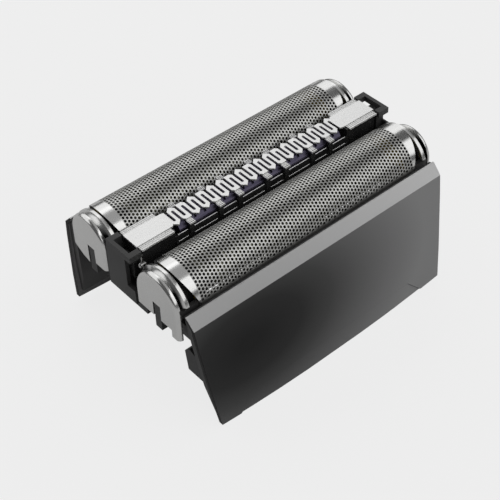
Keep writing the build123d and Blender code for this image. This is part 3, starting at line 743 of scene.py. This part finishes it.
rear_foil = turned_copy(front_foil, "rear_foil_sheet")

foil_steel, foil_tree, foil_shader = new_finish("foil_steel")
foil_effect = effect_in(
    foil_tree, drawn_steel, {"Lines per metre": 2500.0, "Stretch": 0.05, "Depth": 0.004}
)
from_middle = worked_out(foil_tree, "ABSOLUTE", apart(foil_tree, "Object")["X"])
band_share = number_between(foil_tree, from_middle, 0.0, 1.0, *mesh_ends)
foil_shade = foil_effect.outputs["Shade"]
# The pierced middle is rougher and is painted darker than the bands. The darker tone is painted
# shade for its rounded webs.
band_steel = blend_between(foil_tree, foil_shade, (0.83, 0.83, 0.82), (0.89, 0.89, 0.88))
mesh_shaded_steel = blend_between(foil_tree, foil_shade, (0.60, 0.60, 0.585), (0.70, 0.70, 0.68))
foil_tone = laid_over(foil_tree, band_share, mesh_shaded_steel, band_steel)
roughness = number_between(foil_tree, band_share, mesh_rough, band_polish, 0.0, 1.0)
foil_tree.links.new(foil_tone, foil_shader.inputs["Base Color"])
foil_tree.links.new(roughness, foil_shader.inputs["Roughness"])
foil_tree.links.new(foil_effect.outputs["Normal"], foil_shader.inputs["Normal"])
foil_shader.inputs["Metallic"].default_value = 1.0
for side, foil in (("front", front_foil), ("rear", rear_foil)):
    wear(foil, f"{side}_foil_unit", foil_steel)
    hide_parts(f"{side}_foil")

# Foil end caps
# Bright satin mouldings: a hoop round the foil's end that sinks in a hollow sweep to the neck,
# and a plate with a broad rounded edge, notched for the frame's guide rib.
hoop_near_x = 20.6 * mm
hoop_radius = 4.85 * mm
hoop_lip = 0.12 * mm
hoop_sink = 0.7 * mm
hoop_foot_z = 19.7 * mm
hoop_axis_z = 17.9 * mm
neck_inside = 3.4 * mm
plate_near_x = 21.83 * mm
plate_far_x = 22.5 * mm
plate_slice = 0.03 * mm
plate_round = 0.58 * mm
plate_low_z = 15.55 * mm
plate_foot = 1.0 * mm
notch_half = 0.75 * mm
notch_top_z = 17.95 * mm
notch_rim = 0.05 * mm
cap_bend = math.radians(35)
pick_gap = 0.1 * mm
pick_gap_fine = 0.01 * mm
# Low in the hollow between hoop and plate, the silver is painted near black: painted shade in the
# groove.
groove_painted_shade = (0.01, 0.01, 0.01)
sink_x = (21.3 * mm, 21.45 * mm)
sink_z = (21.3 * mm, 22.1 * mm)
sink_fade = 0.02 * mm
satin_silver = finish_from(
    "satin_silver", moulded_skin,
    {"Grain per metre": 9000.0, "Depth": 0.008, "Cloud per metre": 150.0},
    dark=(0.80, 0.80, 0.79), light=(0.86, 0.86, 0.85), rough=(0.18, 0.25), metallic=0.95,
)
silver_tree = satin_silver.node_tree
silver_base = silver_tree.nodes["Principled BSDF"].inputs["Base Color"]
place = apart(silver_tree, "Object")
from_middle = worked_out(silver_tree, "ABSOLUTE", place["X"])
in_sink = number_between(silver_tree, from_middle, 0.0, 1.0, *sink_x)
off_plate = number_between(
    silver_tree, from_middle, 1.0, 0.0, plate_near_x, plate_near_x + sink_fade
)
low_down = number_between(silver_tree, place["Z"], 1.0, 0.0, *sink_z)
# Painted shade mask: the hollow's span on X, off the plate, low down.
groove_shade_mask = worked_out(silver_tree, "MULTIPLY", in_sink, off_plate)
groove_shade_mask = worked_out(silver_tree, "MULTIPLY", groove_shade_mask, low_down)
silver_tone = laid_over(silver_tree, groove_shade_mask, silver_base.links[0].from_socket, groove_painted_shade)
silver_tree.links.new(silver_tone, silver_base)


def pick_points(piece, wanted):
    """Goes into edit mode with only the points that pass a test selected."""
    pick_only(piece)
    bpy.ops.object.mode_set(mode="EDIT")
    bpy.ops.mesh.select_all(action="DESELECT")
    bpy.ops.object.mode_set(mode="OBJECT")
    for point in piece.data.vertices:
        point.select = wanted(point)
    bpy.ops.object.mode_set(mode="EDIT")


def cut_corner(piece, x, radius, size, segments, profile):
    """Rounds or hollows the corner of a section that stands at a place on X and a radius."""
    def at_corner(point):
        off_x = abs(abs(point.co.x) - x)
        off_y = abs(abs(point.co.y) - radius)
        return max(off_x, off_y) < pick_gap

    pick_points(piece, at_corner)
    bpy.ops.mesh.bevel(offset=size, segments=segments, profile=profile, affect="VERTICES")
    bpy.ops.object.mode_set(mode="OBJECT")


def hoop_blank(end):
    """Hoop with its hollow sweep, at the unit's left or right end."""
    x0, x1 = sorted((end * hoop_near_x, end * plate_near_x))
    piece = section("cap_hoop", x0, x1, neck_inside, hoop_radius, -1)
    cut_corner(piece, plate_near_x, hoop_radius, hoop_sink, segments=8, profile=0.2)
    cut_corner(piece, hoop_near_x, neck_inside, hoop_sink, segments=2, profile=0.0)
    cut_corner(piece, hoop_near_x, hoop_radius, hoop_lip, segments=3, profile=0.5)
    sweep_up(piece, -1, math.pi)
    trim(piece, (0, 0, hoop_foot_z - hoop_axis_z), (0, 0, -1))
    piece.location = (0, -foil_axis_y, hoop_axis_z)
    settle(piece)
    return piece


def plate_blank(end, node_name):
    """Plate of a cap, drawn out again from its back outline, with its crown rounded."""
    piece = blank_from(node_name)
    trim(piece, (end * plate_near_x, 0, 0), (-end, 0, 0))
    trim(piece, (end * (plate_near_x + plate_slice), 0, 0), (end, 0, 0))
    pick_points(piece, lambda point: abs(point.co.x) > plate_near_x + plate_slice / 2)
    bpy.ops.mesh.select_mode(type="FACE")
    drawn = end * (plate_far_x - plate_near_x - plate_slice)
    bpy.ops.mesh.extrude_region_move(TRANSFORM_OT_translate={"value": (drawn, 0, 0)})
    bpy.ops.mesh.select_mode(type="EDGE")
    bpy.ops.mesh.select_all(action="DESELECT")
    bpy.ops.object.mode_set(mode="OBJECT")
    for edge in piece.data.edges:
        one, two = (piece.data.vertices[number].co for number in edge.vertices)
        middle = (one + two) / 2
        outside = abs(middle.x) > plate_far_x - pick_gap_fine
        on_foot = max(one.z, two.z) < plate_low_z + plate_foot
        by_notch = abs(middle.y + foil_axis_y) < notch_half + notch_rim
        in_notch = by_notch and middle.z < notch_top_z + notch_rim
        edge.select = outside and not on_foot and not in_notch
    bpy.ops.object.mode_set(mode="EDIT")
    bpy.ops.mesh.bevel(offset=plate_round, segments=6, affect="EDGES")
    bpy.ops.mesh.select_mode(type="VERT")
    bpy.ops.mesh.select_all(action="SELECT")
    bpy.ops.mesh.normals_make_consistent(inside=False)
    bpy.ops.object.mode_set(mode="OBJECT")
    return piece


for end, hand, far_hand in ((-1, "left", "right"), (1, "right", "left")):
    plate = plate_blank(end, f"front_{hand}_cap")
    cap = one_piece(f"front_{hand}_cap_skin", plate, hoop_blank(end))
    bpy.ops.object.shade_smooth_by_angle(angle=cap_bend)
    level_flats(cap)
    rear_cap = turned_copy(cap, f"rear_{far_hand}_cap_skin")
    for side, piece, its_hand in (("front", cap, hand), ("rear", rear_cap, far_hand)):
        wear(piece, f"{side}_foil_unit", satin_silver)
        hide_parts(f"{side}_{its_hand}_cap")

# Trimmer frame
# A glossier black moulding: a channel for the blade with solid ends, stepped sides, and posts
# that carry the comb's tabs. On each step between the posts lies a thin bright steel strip that
# stands in for a highlight along the step's edge: a painted highlight.
tooth_pitch = 1.631 * mm
tooth_count = 18
tab_turns = (1, 4, 6, 9, 11, 14, 16)
frame_edge = 0.06 * mm
bay_end_x = 15.3 * mm
ledges = ((20.35 * mm, 2.0 * mm), (21.4 * mm, 1.92 * mm))
ledge_margin = 0.5 * mm
ledge_width = 0.14 * mm
ledge_height = 0.1 * mm
ledge_edge = 0.03 * mm
channel_black = finish_from(
    "channel_black", moulded_skin,
    {"Grain per metre": 3000.0, "Depth": 0.12, "Cloud per metre": 500.0},
    dark=(0.018, 0.018, 0.018), light=(0.034, 0.034, 0.034), rough=(0.12, 0.2),
)
dressed("trimmer_frame", "trimmer", channel_black, frame_edge)


def turn_x(turn):
    """Place on X of a turn of the comb on its front side."""
    return (turn - (tooth_count - 1) / 2) * tooth_pitch - tooth_pitch / 4


comb_steel = finish_from(
    "comb_steel", drawn_steel, {"Lines per metre": 1500.0, "Stretch": 0.3, "Depth": 0.0003},
    dark=(0.88, 0.88, 0.875), light=(0.91, 0.91, 0.905), rough=(0.38, 0.42), metallic=0.95,
)
post_places = [turn_x(turn) for turn in tab_turns]
bay_edges = [-bay_end_x, *post_places, bay_end_x]
# Bright steel strips that stand in for the highlight on each step's edge: a painted highlight.
strip_parts = []
for level, reach in ledges:
    for side in (-1, 1):
        for start, stop in zip(bay_edges[:-1], bay_edges[1:]):
            strip = block(
                "ledge_highlight", ((start + stop) / 2, side * reach, level),
                (stop - start - 2 * ledge_margin, ledge_width, ledge_height),
            )
            round_edges(strip, ledge_edge, 1)
            strip_parts.append(strip)
wear(one_piece("ledge_highlights", *strip_parts), "trimmer", comb_steel)

# Trimmer blade
# A bar of blue-black hardened steel with sloped shoulders, ground to slide under the comb. It is
# clipped on a plastic arm that the drive pin pushes.
blade_edge = 0.03 * mm
blued_steel = finish_from(
    "blued_steel", drawn_steel, {"Lines per metre": 2500.0, "Stretch": 0.15, "Depth": 0.15},
    dark=(0.05, 0.045, 0.075), light=(0.11, 0.10, 0.145), rough=(0.22, 0.36), metallic=0.8,
)
dressed("trimmer_blade", "trimmer_cutter", blued_steel, blade_edge)
cad["trimmer_drive_arm"].material_slots[0].material = socket_moulding

# Trimmer comb
# Bright steel, stamped and ground: flat end plates with grooved rims, joined by a wave of strands
# whose turns are pointed, but for blunt ones that run into a grooved tab on each post.
comb_z = 22.55 * mm
comb_top_z = 22.8 * mm
comb_edge = 0.035 * mm
end_plate_x = 20.83 * mm
end_plate_reach = 1.44 * mm
wave_left_x = -15.05 * mm
wave_right_x = 14.5 * mm
wave_right_reach = 1.3 * mm
right_plate_x = 14.9 * mm
tip_reach = 1.75 * mm
shoulder_reach = 1.15 * mm
blunt_reach = 1.5 * mm
slot_half = 0.2 * mm
slot_end = 0.72 * mm
slot_height = 1.0 * mm
slot_run = 4.0 * mm
turn_half = tooth_pitch / 2 - slot_half
pad_top_z = 22.68 * mm
pad_height = 0.25 * mm
pad_groove = 0.1 * mm
ridge_edge = 0.04 * mm
rim_near_x = 15.47 * mm
rim_far_x = 20.65 * mm
rim_reach = 2.3 * mm
tab_half = 0.45 * mm
tab_front = (-1.5 * mm, -2.5 * mm)
tab_rear = (1.6 * mm, 2.3 * mm)
front_edge = [(-end_plate_x, end_plate_reach), (wave_left_x, end_plate_reach)]
for turn in range(tooth_count):
    middle = turn_x(turn)
    front_edge.append((middle - turn_half, shoulder_reach))
    if turn in tab_turns:
        front_edge += [(middle - turn_half / 2, blunt_reach), (middle + turn_half, blunt_reach)]
    else:
        front_edge += [(middle, tip_reach), (middle + turn_half, shoulder_reach)]
front_edge += [
    (wave_right_x, wave_right_reach), (right_plate_x, end_plate_reach),
    (end_plate_x, end_plate_reach),
]
bpy.ops.object.select_all(action="DESELECT")
bpy.ops.mesh.primitive_grid_add(x_subdivisions=len(front_edge) - 1, y_subdivisions=1, size=1.0)
comb_wave = last_made("comb_wave")
comb_wave.scale = (2 * end_plate_x, 2 * end_plate_reach, 1)
comb_wave.location = (0, 0, comb_z)
settle(comb_wave)


def shift_points(piece, wanted, by):
    """Moves the points that pass a test."""
    pick_points(piece, wanted)
    bpy.ops.transform.translate(value=by)
    bpy.ops.object.mode_set(mode="OBJECT")


in_order = sorted(comb_wave.data.vertices, key=lambda point: (point.co.y, point.co.x))
edge_points = [(point.index, point.co.copy()) for point in in_order]
for side, points in ((1, edge_points), (-1, reversed(edge_points))):
    for (number, place), (x, reach) in zip(points, front_edge):
        step = (side * x - place.x, -side * reach - place.y, 0)
        shift_points(comb_wave, lambda point: point.index == number, step)
bpy.ops.object.mode_set(mode="EDIT")
bpy.ops.mesh.select_all(action="SELECT")
bpy.ops.mesh.extrude_region_move(
    TRANSFORM_OT_translate={"value": (0, 0, comb_top_z - comb_z)}
)
bpy.ops.mesh.select_all(action="SELECT")
bpy.ops.mesh.normals_make_consistent(inside=False)
bpy.ops.object.mode_set(mode="OBJECT")

bpy.ops.object.select_all(action="DESELECT")
bpy.ops.mesh.primitive_cylinder_add(
    vertices=16, radius=slot_half, depth=slot_height,
    location=((0.5 - tooth_count) * tooth_pitch / 2, -slot_end, comb_z),
)
rear_slots = last_made("rear_slots")
settle(rear_slots)
shift_points(
    rear_slots, lambda point: point.co.y > -slot_end + pick_gap_fine, (0, slot_run, 0)
)
repeat(rear_slots, tooth_count, (tooth_pitch, 0, 0))
front_slots = turned_copy(rear_slots, "front_slots")
slot_cutter = one_piece("slot_cutter", front_slots, rear_slots)
pick_only(comb_wave)
cut = comb_wave.modifiers.new("slots", "BOOLEAN")
cut.operation = "DIFFERENCE"
cut.solver = "EXACT"
cut.object = slot_cutter
bpy.ops.object.modifier_apply(modifier=cut.name)
bpy.data.objects.remove(slot_cutter)
round_edges(comb_wave, comb_edge)


def ridged_pad(name, x0, x1, near, far, ridges):
    """Pad with rounded ridges along X, between two distances from the comb's middle line."""
    middle_x = (x0 + x1) / 2
    step = (far - near) / ridges
    base = block(
        name, (middle_x, (near + far) / 2, pad_top_z - (pad_height + pad_groove) / 2),
        (x1 - x0, abs(far - near), pad_height - pad_groove),
    )
    parts = [base]
    for ridge in range(ridges):
        at, share = (0.62, 0.72) if ridge == ridges - 1 else (0.6, 0.56)
        bar = block(
            name, (middle_x, near + (ridge + at) * step, pad_top_z - pad_height / 2),
            (x1 - x0, abs(step) * share, pad_height),
        )
        round_edges(bar, ridge_edge)
        parts.append(bar)
    return one_piece(name, *parts)


comb_parts = [comb_wave]
for end in (-1, 1):
    x0, x1 = sorted((end * rim_near_x, end * rim_far_x))
    for side in (-1, 1):
        comb_parts.append(
            ridged_pad("comb_rim", x0, x1, side * end_plate_reach, side * rim_reach, 3)
        )
for middle in post_places:
    comb_parts += [
        ridged_pad("comb_tab", middle - tab_half, middle + tab_half, *tab_front, 4),
        ridged_pad("comb_tab", middle - tab_half, middle + tab_half, *tab_rear, 3),
    ]
trimmer_comb = one_piece("trimmer_comb_plate", *comb_parts)
bpy.ops.object.shade_smooth_by_angle(angle=sharp_angle)
wear(trimmer_comb, "trimmer", comb_steel)
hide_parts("trimmer_comb")

# Studio
# A grey floor that glows pale for the camera and for what is mirrored, two long soft boxes in
# front and behind with a weak panel overhead, a dim room, and the camera.
floor_size = 6.0
floor_tone = 1.0
floor_grey = 0.5
floor_rough = 0.9
seen_share = 0.8
mirrored_share = 0.18
room_grey = 0.07
aim_height = 0.015
bpy.ops.object.select_all(action="DESELECT")
bpy.ops.mesh.primitive_plane_add(size=floor_size, location=(0, 0, 0))
floor = last_made("floor")
floor_finish, floor_tree, floor_lit = new_finish("pale_floor")
floor_lit.inputs["Base Color"].default_value = (floor_grey, floor_grey, floor_grey, 1.0)
floor_lit.inputs["Roughness"].default_value = floor_rough
floor_glow = floor_tree.nodes.new("ShaderNodeEmission")
floor_glow.inputs["Color"].default_value = (floor_tone, floor_tone, floor_tone, 1.0)
ray = floor_tree.nodes.new("ShaderNodeLightPath").outputs
mirrored = worked_out(floor_tree, "MULTIPLY", ray["Is Glossy Ray"], mirrored_share)
glow_share = worked_out(
    floor_tree, "MULTIPLY_ADD", ray["Is Camera Ray"], seen_share, mirrored
)
floor_blend = floor_tree.nodes.new("ShaderNodeMixShader")
floor_tree.links.new(glow_share, floor_blend.inputs[0])
floor_tree.links.new(floor_lit.outputs[0], floor_blend.inputs[1])
floor_tree.links.new(floor_glow.outputs[0], floor_blend.inputs[2])
floor_tree.links.new(
    floor_blend.outputs[0], floor_tree.nodes["Material Output"].inputs["Surface"]
)
floor.data.materials.append(floor_finish)

world = bpy.data.worlds.new("studio")
bpy.context.scene.world = world
world.use_nodes = True
room = world.node_tree.nodes["Background"]
room.inputs["Color"].default_value = (room_grey, room_grey, room_grey, 1.0)


def soft_box(name, place, width, height, radiance):
    """Long lamp that faces the head, of an even brightness whatever its size."""
    light = bpy.data.lights.new(name, "AREA")
    light.shape = "RECTANGLE"
    light.size = width
    light.size_y = height
    light.energy = radiance * math.pi * width * height
    lamp = bpy.data.objects.new(name, light)
    bpy.context.scene.collection.objects.link(lamp)
    aim = Vector((0, 0, aim_height)) - Vector(place)
    lamp.location = place
    lamp.rotation_euler = aim.to_track_quat("-Z", "Y").to_euler()


soft_box("front_box", (0.15, -0.383, 0.336), width=1.3, height=0.44, radiance=0.9)
soft_box("rear_box", (0.0, 0.391, 0.326), width=1.6, height=0.46, radiance=0.84)
soft_box("top_panel", (0.1, -0.03, 0.6), width=1.3, height=0.44, radiance=0.25)

eye = Vector((-0.079197, -0.093084, 0.12472))
view_right = Vector((0.75381, -0.65677, -0.02074))
view_up = Vector((0.46531, 0.51124, 0.72258))
view_back = Vector((-0.46396, -0.55433, 0.69098))
view_turn = Matrix((view_right, view_up, view_back)).transposed().to_4x4()
lens = bpy.data.cameras.new("camera")
lens.lens = 85.96
lens.sensor_width = 36.0
lens.clip_start = 0.01
camera = bpy.data.objects.new("camera", lens)
bpy.context.scene.collection.objects.link(camera)
camera.matrix_world = Matrix.Translation(eye) @ view_turn
bpy.context.scene.camera = camera
bpy.context.scene.view_settings.view_transform = "Standard"
